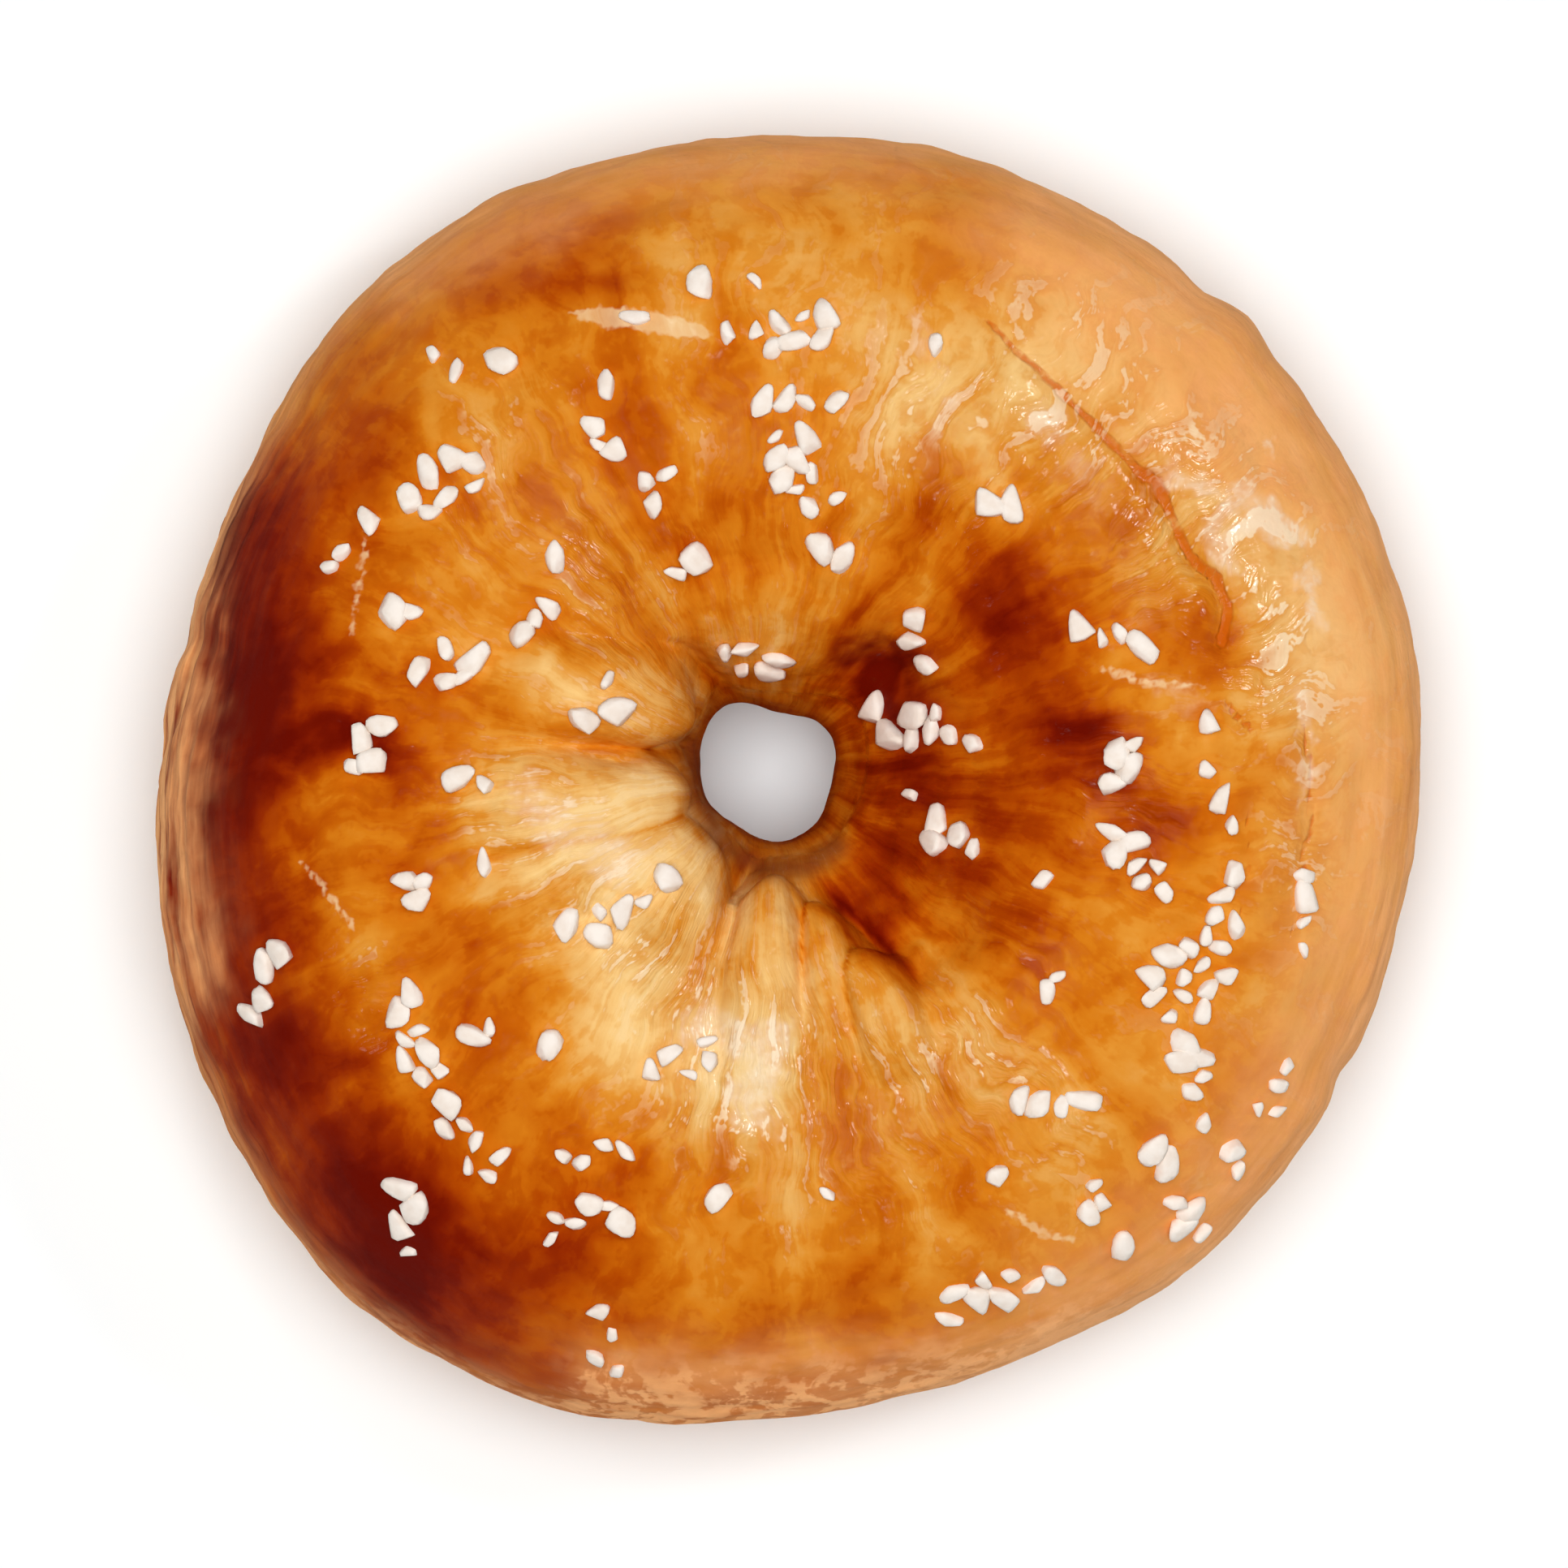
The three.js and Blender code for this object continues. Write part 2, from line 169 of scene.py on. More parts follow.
# Where wrinkles run along the rim: a bearing and its spread in degrees, and the strength. All lie round one
# turn, within its spread.
RIM_WRINKLES = [(180, 38, 1.0), (265, 30, 0.35), (-15, 30, 0.35)]
RIM_TURN = 0.3
RIM_SPREAD = 0.42

# Pale tears and scratches: the points along each and half its width
TEARS = [
    ([(-18.6, 39.6), (-12.0, 38.9), (-6.5, 37.7)], 0.8),
    ([(-35.9, 21.4), (-37.3, 12.3)], 0.16),
    ([(26.2, 9.5), (30.0, 8.1), (35.8, 7.7)], 0.25),
    ([(-41.6, -7.1), (-36.8, -13.1)], 0.18),
    ([(17.7, -36.3), (21.9, -39.1), (24.6, -39.5)], 0.22),
]

# Browning (over 0) and pale skin (under 0): the points along each patch, its reach and its strength.
# Some hold light as well: the dark band on the left and the dark funnel right of the hole are partly
# painted shade, and the pale patches on the lobes round the hole and at the upper right are partly painted
# sheen.
BAKE_AND_LIGHT_PATCHES = [
    # Dark band on the left: browning, partly painted shade on the side away from the light
    (
        [(-46.5, 20), (-46.5, 12), (-48.5, 0), (-47.5, -12), (-44, -24), (-38.5, -33.5), (-31, -41)],
        7.5, 0.42,
    ),
    ([(-43, 11), (-44, 4)], 4.5, 0.14),
    ([(-31, -41), (-22, -46.5)], 6.5, 0.12),
    ([(-38, 4), (-34.5, 2.0)], 2.6, 0.26),
    ([(-39, 27), (-31, 37), (-20, 44)], 6.0, 0.14),
    ([(-20, 42), (-13, 42)], 1.5, 0.11),
    ([(-8, 20), (3, 22)], 3.4, 0.1),
    ([(-21, 14)], 2.5, 0.12),
    ([(-14, 34), (-10, 25)], 4.0, 0.05),
    ([(14, 22), (18, 16)], 4.5, 0.18),
    ([(19, 13), (21, 8), (21, 2), (18, -5)], 5.0, 0.25),
    # Dark funnel right of the hole: browning, partly painted shade
    ([(8, 8), (10, 3), (10, -4), (8, -10)], 5.0, 0.38),
    ([(7.5, 9.5), (9, 7.5)], 2.4, 0.2),
    ([(25, 3), (29, -1), (31.5, -6)], 3.0, 0.26),
    ([(24, -9), (18, -14)], 3.5, 0.12),
    ([(33.5, 14), (36, 10)], 2.6, 0.12),
    ([(-2, -38), (14, -39)], 4.5, -0.04),
    ([(12, -45), (2, -47), (-10, -46)], 4.0, 0.07),
    ([(-13, -33)], 3.0, 0.16),
    ([(-19.5, -29)], 2.2, 0.16),
    ([(-20, -38), (-14, -42)], 5.0, 0.14),
    ([(-14, 32), (-22, 24)], 6.0, 0.05),
    ([(-32, -6), (-31, 10)], 4.5, 0.15),
    ([(-28, -15), (-25, -30)], 5.0, 0.12),
    # Pale lobes round the hole and below it: pale skin, partly painted sheen
    ([(-24, -4), (-16, -6)], 5.6, -0.3),
    ([(-12, -1), (-10, -6), (-7, -10)], 3.6, -0.26),
    ([(-5, 12), (-1, 12)], 3.0, -0.1),
    ([(-19, 7.2), (-10.5, 6.4)], 3.2, -0.18),
    ([(-15, -15), (-14, -21), (-8, -24)], 5.0, -0.27),
    ([(-2, -12), (-1, -18), (-3, -27)], 3.6, -0.22),
    ([(4, -17), (8, -21), (15, -23)], 4.0, -0.12),
    # Pale upper right: pale skin, partly painted sheen
    ([(19, 35), (26, 35), (36, 26), (42, 14)], 7.0, -0.19),
    ([(9, 33), (4, 42)], 5.0, -0.13),
    ([(46, 16), (48, 4), (47, -8)], 6.0, -0.1),
    ([(-8, 38.5)], 2.0, -0.12),
    ([(20, -36), (26, -27)], 5.0, -0.06),
]
PLAIN_BAKE = 0.5

# How far the edges of patches are drawn astray by wide and by small noise, other than those of wet skin
WIDE_DRIFT_SIZE = 5.0
WIDE_DRIFT = 1.6
SMALL_DRIFT_SIZE = 1.7
SMALL_DRIFT = 0.9

# What else makes the crust darker (over 0) or paler: the underside, the pitted skin of the bottom rim,
# painted shade in the creases and where two lobes meet, streaks that fan out from the hole, and wide
# unevenness
UNDERSIDE_BAKE = -0.12
PITTED_BAKE = 0.16
FOLD_SHADE = 0.06
DEEPEST_SHADED_FOLD = 2.5
LOBE_MEETING_SHADE = 4.0
FAN_BAKE = 0.16
UNEVEN_BAKE = 0.05
UNEVEN_SIZE = 6.5

# Where the skin is pitted and where it is ridged along the rim: a bearing and its spread in degrees,
# and the strength
PITTED_WINDOWS = [(262, 32, 1.0)]
RIDGE_WINDOWS = [(180, 38, 0.85), (-10, 40, 0.15)]
PLAIN_RIDGES = 0.15

# The wall of the hole is darkened up to this, by this share: partly browning, partly painted shade inside
# the hole
WALL_BAKE_AND_SHADE = 0.8
WALL_BAKE_AND_SHADE_SHARE = 0.6

# Matte peach skin that the glaze missed, as patches; at the rim and the upper right the peach is partly a
# painted sheen of the bright surroundings seen at a slant
DRY_AND_RIM_SHEEN_PATCHES = [
    ([(22, 47), (36, 38), (47, 20), (51, 2), (49.5, -14), (43.5, -30), (33, -42), (25, -47.5)], 6.0, 0.55),
    ([(22, -48.5), (10, -52), (-2, -53), (-16, -52)], 3.2, 0.62),
    ([(10, 54), (-14, 52.5), (-33, 43)], 3.0, 0.3),
    ([(-52, 18), (-53, 2), (-51.5, -18)], 2.6, 0.5),
    ([(26, 37), (37, 27)], 5.0, 0.25),
]

# The wet brownish edge under the lobes at the hole
WET_PATCHES = [
    ([(-8.4, 2.6), (-7.8, -1.8), (-5.6, -5.8), (-2.6, -7.8), (1.4, -7.8), (4.0, -6.0)], 1.0, 0.75),
]

# Where the glaze is thick, wrinkled and catches the light
GLAZE_PATCHES = [
    ([(-24, -3), (-17, -8)], 6.0, 0.5),
    ([(-11, -16), (-5, -22), (-6, -28)], 5.0, 1.0),
    ([(1, -24), (9, -27), (16, -25)], 5.0, 0.7),
    ([(17, -24), (23, -29)], 4.0, 0.5),
    ([(-5, -33), (9, -36)], 5.0, 0.45),
    ([(20, 42), (30, 33), (40, 25)], 4.0, 0.5),
    ([(-4, 30), (4, 22)], 5.0, 0.3),
    ([(17, -10), (21, -16)], 3.0, 0.5),
    ([(33, 25), (40, 16), (42, 10)], 4.5, 0.9),
    ([(19, 33), (27, 24), (31, 17)], 4.5, 0.7),
    ([(10, 32), (14, 24)], 4.5, 0.7),
    ([(-17, 19), (-14, 13)], 3.5, 0.6),
    ([(-18, 7), (-11, 6)], 2.5, 0.2),
    ([(27, 2), (30, -6)], 3.5, 0.7),
    ([(-36, -17), (-35, -21)], 2.5, 0.6),
    ([(44, 5), (43, -12)], 2.5, 0.5),
    ([(-22, 30), (-30, 22)], 6.0, 0.2),
    ([(-24, 27), (-13, 18)], 5.0, 0.35),
]
PLAIN_GLAZE = 0.12

# Blocky places with a painted reflection of a window in the glaze, whitish and finely crackled
SHEEN_PATCHES = [
    ([(-22, -2), (-15, -6.5)], 2.8, 0.8),
    ([(-7.5, -21), (-2, -22), (-3, -28)], 2.4, 1.0),
    ([(32.5, 25.5), (37, 22)], 1.6, 1.0),
    ([(39, 24.5), (42, 21)], 1.6, 1.0),
    ([(35.3, 19.7), (38.2, 17.2)], 1.4, 0.9),
    ([(44.6, 17.4), (45.2, 13.4)], 1.0, 0.9),
    ([(44, 7), (44, -3)], 0.8, 0.7),
    ([(40.6, 28.6)], 1.0, 1.0),
    ([(21, 31), (27, 22)], 2.2, 0.55),
    ([(31, 8.6), (35, 6.6)], 1.4, 0.6),
    ([(-36, -17), (-35, -21)], 1.4, 0.6),
    ([(11, 41), (13, 30)], 1.6, 0.5),
]

# Handfuls of salt as they landed: x, y, grains, half the length, half the width, heading in degrees
HANDFULS = [
    (-1.0, 38.2, 8, 6.0, 1.6, 5),
    (0.2, 32.0, 5, 4.4, 0.8, 0),
    (1.0, 26.0, 9, 4.2, 2.6, 130),
    (3.8, 19.0, 2, 2.2, 0.6, 150),
    (-7.5, 41.2, 3, 6.0, 0.9, 20),
    (-15.8, 28.8, 3, 1.6, 0.8, 120),
    (-11.5, 25.0, 3, 2.8, 0.9, 70),
    (-29.5, 25.0, 7, 4.0, 2.0, 30),
    (-38.0, 19.6, 3, 4.2, 0.7, 45),
    (-29.0, 35.2, 3, 5.0, 1.8, 10),
    (-15.8, 33.6, 1, 0.3, 0.3, 0),
    (-20.0, 18.7, 1, 0.3, 0.3, 0),
    (-8.0, 18.8, 2, 2.6, 0.6, 35),
    (-32.8, 13.9, 2, 1.0, 0.4, 0),
    (-21.6, 13.2, 3, 2.2, 0.8, 60),
    (-29.5, 9.4, 6, 4.2, 1.6, 10),
    (-35.2, 2.7, 4, 3.6, 1.5, 30),
    (-17.5, 6.0, 3, 3.4, 1.2, 70),
    (-3.3, 10.6, 6, 3.2, 1.4, 170),
    (-27.0, -0.4, 2, 1.8, 0.4, 160),
    (-31.8, -9.3, 4, 1.8, 1.2, 160),
    (-26.0, -7.6, 1, 0.3, 0.3, 0),
    (-15.0, -12.0, 6, 5.0, 1.5, 20),
    (-44.5, -17.0, 4, 3.6, 0.7, 65),
    (-32.0, -21.8, 8, 4.4, 1.8, 115),
    (-25.8, -21.5, 3, 1.8, 0.6, 50),
    (-20.1, -22.7, 2, 1.0, 0.4, 20),
    (-9.8, -24.0, 5, 4.2, 1.7, 10),
    (-27.2, -30.6, 7, 4.0, 2.0, 130),
    (-17.5, -32.0, 4, 4.6, 1.0, 0),
    (-33.0, -37.6, 4, 4.4, 1.4, 80),
    (-17.2, -37.6, 6, 3.6, 2.0, 20),
    (-16.0, -47.6, 4, 3.6, 1.2, 105),
    (-5.8, -35.4, 1, 0.3, 0.3, 0),
    (3.4, -35.3, 1, 0.3, 0.3, 0),
    (11.2, 4.2, 8, 6.0, 1.8, 170),
    (10.8, 10.6, 3, 3.8, 0.7, 100),
    (12.4, -4.0, 5, 5.4, 2.0, 130),
    (12.3, 37.0, 1, 0.3, 0.3, 0),
    (16.6, 22.8, 2, 2.8, 0.4, 15),
    (27.6, 11.9, 4, 3.8, 0.8, 165),
    (28.2, 1.5, 4, 3.2, 1.2, 60),
    (29.3, -6.8, 8, 4.6, 1.3, 130),
    (21.8, -8.7, 1, 0.3, 0.3, 0),
    (36.2, 2.0, 4, 6.6, 1.6, 100),
    (36.8, -11.2, 6, 3.6, 1.5, 80),
    (43.8, -11.2, 4, 3.6, 0.6, 90),
    (33.8, -17.4, 12, 4.2, 2.8, 40),
    (34.3, -25.2, 6, 4.4, 0.9, 100),
    (22.9, -17.2, 2, 1.8, 0.5, 45),
    (21.0, -27.2, 4, 4.6, 1.0, 175),
    (41.8, -26.8, 4, 3.0, 1.2, 60),
    (31.2, -32.0, 3, 1.5, 0.6, 150),
    (38.4, -33.2, 2, 1.7, 0.4, 115),
    (17.7, -33.8, 1, 0.3, 0.3, 0),
    (25.6, -36.0, 4, 1.8, 1.0, 60),
    (34.2, -37.8, 4, 3.0, 0.8, 140),
    (18.4, -43.2, 8, 4.6, 1.1, 10),
    (28.8, -40.4, 2, 1.0, 0.4, 140),
    (13.2, -46.0, 2, 0.9, 0.4, 10),
]

# A grain's length, from the least share of the usual one up; its width, from the least share of its length
# up; its height for the square root of its width; and the least space between the middles of two grains
GRAIN_LENGTH = 2.7
LEAST_LENGTH = 0.65
LENGTH_SPAN = 0.7
LEAST_WIDTH = 0.5
WIDTH_SPAN = 0.4
GRAIN_HEIGHT = 0.9
GRAIN_SPACING = 1.5

# The share of a grain's height that is sunk in the crust
GRAIN_SINK = 0.32

# How far a grain narrows, bends and is squared, and how much it is smoothed
MOST_TAPER = 0.75
MOST_BEND = 0.3
LEAST_FULLNESS = 3.0
FULLNESS_SPAN = 3.0
GRAIN_SMOOTHING = 0.3

# How many of a grain's sides are broken off, how far these lean, and how far they are from its middle,
# as a share of half its size
GRAIN_CHIPS = 7
CHIP_TILT = 0.35
GRAIN_CHIP = 0.74

# Cuts in each edge of a grain's box, how many places are tried for a handful, and the numbers of the draws
GRAIN_CUTS = 3
TRIES = 40
SALT_SEED = 20
DRAW_FACTOR = 1664525
DRAW_STEP = 1013904223
DRAW_RANGE = 2**32


# Shape of the crust


def lines_of(rows):
    """Table rows whose first entry, the points along a line, is made an array."""
    return [(np.array(row[0]), *row[1:]) for row in rows]


# How far outside a cut or tear a place is taken to be where there is none near
FAR = 3.0

LOBE_LINES = lines_of(LOBES)
SWELL_LINES = lines_of(SWELLS)
CREASE_LINES = lines_of(CREASES)
TEAR_LINES = lines_of(TEARS)
BAKE_AND_LIGHT_LINES = lines_of(BAKE_AND_LIGHT_PATCHES)
DRY_AND_RIM_SHEEN_LINES = lines_of(DRY_AND_RIM_SHEEN_PATCHES)
WET_LINES = lines_of(WET_PATCHES)
GLAZE_LINES = lines_of(GLAZE_PATCHES)
SHEEN_LINES = lines_of(SHEEN_PATCHES)


def waves_at(waves, bearing):
    """The sum of waves round the ring at each bearing."""
    return sum(depth * np.cos(count * (bearing - math.radians(crest))) for count, depth, crest in waves)


def smooth_step(low, high, value):
    """0 below low, 1 above high, and a soft rise between them."""
    share = np.clip((value - low) / (high - low), 0, 1)
    return share * share * (3 - 2 * share)


def hill(value, middle, spread):
    """1 at the middle, and falling softly to 0 on both sides of it."""
    return np.exp(-(((value - middle) / spread) ** 2))


def soft_floor(value, softness):
    """The larger of value and 0, with the corner rounded."""
    blend = np.clip(0.5 + value / (2 * softness), 0, 1)
    return value * blend + softness * blend * (1 - blend)


def section_at(bearing):
    """The cross-section's middle, half its width, its rise over the waist and its inner fullness."""
    outside = RING_RADIUS + waves_at(OUTLINE_WAVES, bearing)
    hole = HOLE_RADIUS + waves_at(HOLE_WAVES, bearing)
    rise = CROWN_HEIGHT + waves_at(CROWN_WAVES, bearing) - WAIST_HEIGHT
    inner = INNER_FULLNESS + waves_at(INNER_FULLNESS_WAVES, bearing)
    return (outside + hole) / 2, (outside - hole) / 2, rise, inner


# The share across the section that is taken for its edge
JUST_INSIDE = 0.999


def turn_over(x, y):
    """The bearing and the turn of the crust over plan points."""
    bearing = np.arctan2(y - HOLE_MIDDLE[1], x - HOLE_MIDDLE[0])
    middle, half_width, _, inner = section_at(bearing)
    share = (np.hypot(x - HOLE_MIDDLE[0], y - HOLE_MIDDLE[1]) - middle) / half_width
    share = np.clip(share, -JUST_INSIDE, JUST_INSIDE)
    fullness = np.where(share < 0, inner, OUTER_FULLNESS)
    up = (1 - np.abs(share) ** fullness) ** (1 / fullness)
    return bearing, np.arctan2(up, share)


def crust_smooth(bearing, turn):
    """Radius from the hole's middle, share of the way up from the waist, and height of the smooth ring."""
    middle, half_width, rise, inner = section_at(bearing)
    cos, sin = np.cos(turn), np.sin(turn)
    fullness = np.where(sin < 0, BELLY_FULLNESS, np.where(cos < 0, inner, OUTER_FULLNESS))
    reach = (np.abs(cos) ** fullness + np.abs(sin) ** fullness) ** (-1 / fullness)
    lift = np.where(sin >= 0, rise, BELLY_DEPTH)
    return middle + half_width * reach * cos, reach * sin, WAIST_HEIGHT + lift * reach * sin


def nearest_on(points, x, y):
    """How far plan places are from a line through points, and how far along it they are, from 0 to 1."""
    distance = np.hypot(x - points[0][0], y - points[0][1])
    along = np.zeros_like(distance)
    for i, (start, end) in enumerate(zip(points, points[1:])):
        run = end - start
        share = np.clip(((x - start[0]) * run[0] + (y - start[1]) * run[1]) / (run @ run), 0, 1)
        apart = np.hypot(x - start[0] - share * run[0], y - start[1] - share * run[1])
        nearer = apart < distance
        distance = np.where(nearer, apart, distance)
        along = np.where(nearer, (i + share) / (len(points) - 1), along)
    return distance, along


def patches_at(patches, x, y):
    """The sum of soft patches at plan places."""
    total = np.zeros_like(x)
    for through, reach, strength in patches:
        distance, _ = nearest_on(through, x, y)
        total += strength * hill(distance, 0, reach)
    return total


def lobes_at(x, y):
    """How high the lobes stand at plan places, and from 0 to 1 how nearly two of them meet there."""
    highest, second = np.zeros_like(x), np.zeros_like(x)
    for through, reach, height in LOBE_LINES:
        distance, along = nearest_on(through, x, y)
        lobe = height * (1 - along**2) * soft_floor(1 - (distance / reach) ** 3, FOOT_SOFTNESS)
        second = np.maximum(second, np.minimum(lobe, highest))
        highest = np.maximum(highest, lobe)
    meeting = np.exp(-(highest - second) / MEETING_DIFFERENCE) * smooth_step(*MEETING_HEIGHTS, second)
    return highest, meeting


def creases_at(x, y):
    """How deep the creases are at plan places, and how far those are outside the cuts in their bottoms."""
    depth_there, gap = np.zeros_like(x), np.full_like(x, FAR)
    places = np.column_stack([x, y, np.zeros_like(x)])
    strayed_x = x + STRAY * cloud_at(places, STRAY_SIZE, 41.0, 2)
    strayed_y = y + STRAY * cloud_at(places, STRAY_SIZE, 53.0, 2)
    for through, depth, width, cut, deepest in CREASE_LINES:
        distance, along = nearest_on(through, strayed_x, strayed_y)
        fade = 1 - END_LOSS * (np.abs(along - deepest) / max(deepest, 1 - deepest)) ** 2
        depth_there += depth * fade * np.exp(-distance / width)
        if cut:
            gap = np.minimum(gap, distance - cut * (1 - WIDTH_LOSS * (1 - fade)))
    return depth_there, gap


def tears_at(x, y):
    """How far plan places are outside the pale tears."""
    gap = np.full_like(x, FAR)
    for through, half_width in TEAR_LINES:
        distance, along = nearest_on(through, x, y)
        gap = np.minimum(gap, distance - half_width * (1 - (2 * along - 1) ** 4))
    return gap


def noise_at(places, detail=3):
    """Layered noise, from about -1 to 1, at rows of three coordinates."""
    return np.array([noise.fractal(place, 1.0, 2.0, detail) for place in places.tolist()])


def cloud_at(places, size, shift, detail=3):
    """Layered noise whose largest features have a size, shifted to differ from other noise."""
    return noise_at(places / size + shift, detail)


def flow_places(bearing, turn, round_scale, over_scale, shift=0.0):
    """Noise coordinates that follow the ring: round_scale cells a radian round it, over_scale over it."""
    return np.column_stack(
        [np.cos(bearing) * round_scale + shift, np.sin(bearing) * round_scale, turn * over_scale]
    )


def bearing_window(bearing, middle, spread):
    """1 at a bearing in degrees, falling softly to 0 further round."""
    apart = np.angle(np.exp(1j * (bearing - math.radians(middle))))
    return hill(apart, 0, math.radians(spread))


def bearings_at(rows, bearing):
    """The sum of soft windows in bearing."""
    return sum(strength * bearing_window(bearing, middle, spread) for middle, spread, strength in rows)


def windows_at(rows, bearing, radius):
    """The sum of soft windows in bearing and radius."""
    return sum(
        strength * bearing_window(bearing, middle, spread) * hill(radius, out, breadth)
        for middle, spread, out, breadth, strength in rows
    )


def wrinkles_at(bearing, turn, radius, places):
    """The skin's relief: unevenness, wrinkles out from the hole and along the rim, and blisters."""
    lumps = LUMP_HEIGHT * cloud_at(places, LUMP_SIZE, 0.0)
    small_lumps = SMALL_LUMP_HEIGHT * cloud_at(places, SMALL_LUMP_SIZE, 7.0)
    warp = WARP * cloud_at(places, WARP_SIZE, 3.0)
    radial = noise_at(flow_places(bearing + 0.04 * warp, turn + 0.25 * warp, *RADIAL_CELLS))
    radial = radial * windows_at(RADIAL_WRINKLES, bearing, radius)
    lengthways = noise_at(flow_places(bearing + 0.05 * warp, turn, *RIM_CELLS, 9.0))
    lengthways = lengthways * hill(turn, RIM_TURN, RIM_SPREAD) * bearings_at(RIM_WRINKLES, bearing)
    blisters = cloud_at(places, BLISTER_SIZE, 20.0, 2)
    blisters = blisters * (PLAIN_BLISTERS + windows_at(BLISTERED, bearing, radius))
    return (
        lumps
        + small_lumps
        + RADIAL_HEIGHT * radial
        + RIM_WRINKLE_HEIGHT * lengthways
        + BLISTER_HEIGHT * blisters
    )


def crust_points(bearing, turn, fine=True):
    """Points of the crust in millimetres, with or without the skin's unevenness."""
    radius, up, height = crust_smooth(bearing, turn)
    cos, sin = np.cos(bearing), np.sin(bearing)
    x, y = HOLE_MIDDLE[0] + radius * cos, HOLE_MIDDLE[1] + radius * sin
    fade = smooth_step(0, RELIEF_WHOLE, up)
    relief = fade * (lobes_at(x, y)[0] + patches_at(SWELL_LINES, x, y) - creases_at(x, y)[0])
    for middle, spread, knuckle in RIM_KNUCKLES:
        relief = relief + knuckle * bearing_window(bearing, middle, spread) * hill(turn, 0, KNUCKLE_TURN)
    if fine:
        relief = relief + wrinkles_at(bearing, turn, radius, np.column_stack([x, y, height]))
    _, half_width, rise, _ = section_at(bearing)
    facing = np.array([np.cos(turn) / half_width, np.sin(turn) / rise])
    facing = facing / np.hypot(*facing) * relief
    reach = radius + facing[0]
    return np.column_stack(
        [
            HOLE_MIDDLE[0] + reach * cos,
            HOLE_MIDDLE[1] + reach * sin,
            soft_floor(height + facing[1], BASE_ROUNDING),
        ]
    )


def set_attribute(mesh, name, values):
    """Stores a number for each point of a mesh."""
    mesh.attributes.new(name, "FLOAT", "POINT").data.foreach_set("value", values.astype(np.float32))


def set_places(mesh, name, places):
    """Stores three coordinates for each point of a mesh."""
    stored = mesh.attributes.new(name, "FLOAT_VECTOR", "POINT")
    stored.data.foreach_set("vector", places.astype(np.float32).ravel())


def plain_ring():
    """A mesh with the points and faces of the crust, before its points are moved."""
    ring = bmesh.new()
    circle = bmesh.ops.create_circle(ring, segments=STEPS_SECTION, radius=1.0)
    stand = Matrix.Translation((PLAIN_RADIUS, 0, 0)) @ Matrix.Rotation(math.pi / 2, 4, "X")
    bmesh.ops.transform(ring, matrix=stand, verts=circle["verts"])
    bmesh.ops.spin(
        ring, geom=ring.verts[:] + ring.edges[:], cent=(0, 0, 0), axis=(0, 0, 1),
        angle=2 * math.pi, steps=STEPS_ROUND, use_merge=True,
    )
    bmesh.ops.subdivide_edges(ring, edges=ring.edges[:], cuts=CUTS, use_grid_fill=True)
    bmesh.ops.recalc_face_normals(ring, faces=ring.faces)
    mesh = bpy.data.meshes.new("crust")
    ring.to_mesh(mesh)
    ring.free()
    return mesh


def make_crust():
    """The whole crust: a plain ring whose points are moved."""
    mesh = plain_ring()
    places = np.zeros(len(mesh.vertices) * 3)
    mesh.vertices.foreach_get("co", places)
    x, y, z = places.reshape(-1, 3).T
    bearing = np.arctan2(y, x)
    turn = np.arctan2(z, np.hypot(x, y) - PLAIN_RADIUS)
    turn = turn + CROWDING * np.cos(turn)
    points = crust_points(bearing, turn)
    mesh.vertices.foreach_set("co", (points * MM).ravel())
    paint_crust(mesh, points, bearing, turn)
    mesh.update()
    mesh.shade_smooth()
    crust = bpy.data.objects.new("crust", mesh)
    bpy.context.collection.objects.link(crust)
    return crust


def drifted_places(points):
    """Plan places whose patches get uneven edges."""
    x, y, _ = points.T
    x = x + WIDE_DRIFT * cloud_at(points, WIDE_DRIFT_SIZE, 61.0)
    y = y + WIDE_DRIFT * cloud_at(points, WIDE_DRIFT_SIZE, 83.0)
    x = x + SMALL_DRIFT * cloud_at(points, SMALL_DRIFT_SIZE, 71.0)
    y = y + SMALL_DRIFT * cloud_at(points, SMALL_DRIFT_SIZE, 93.0)
    return x, y


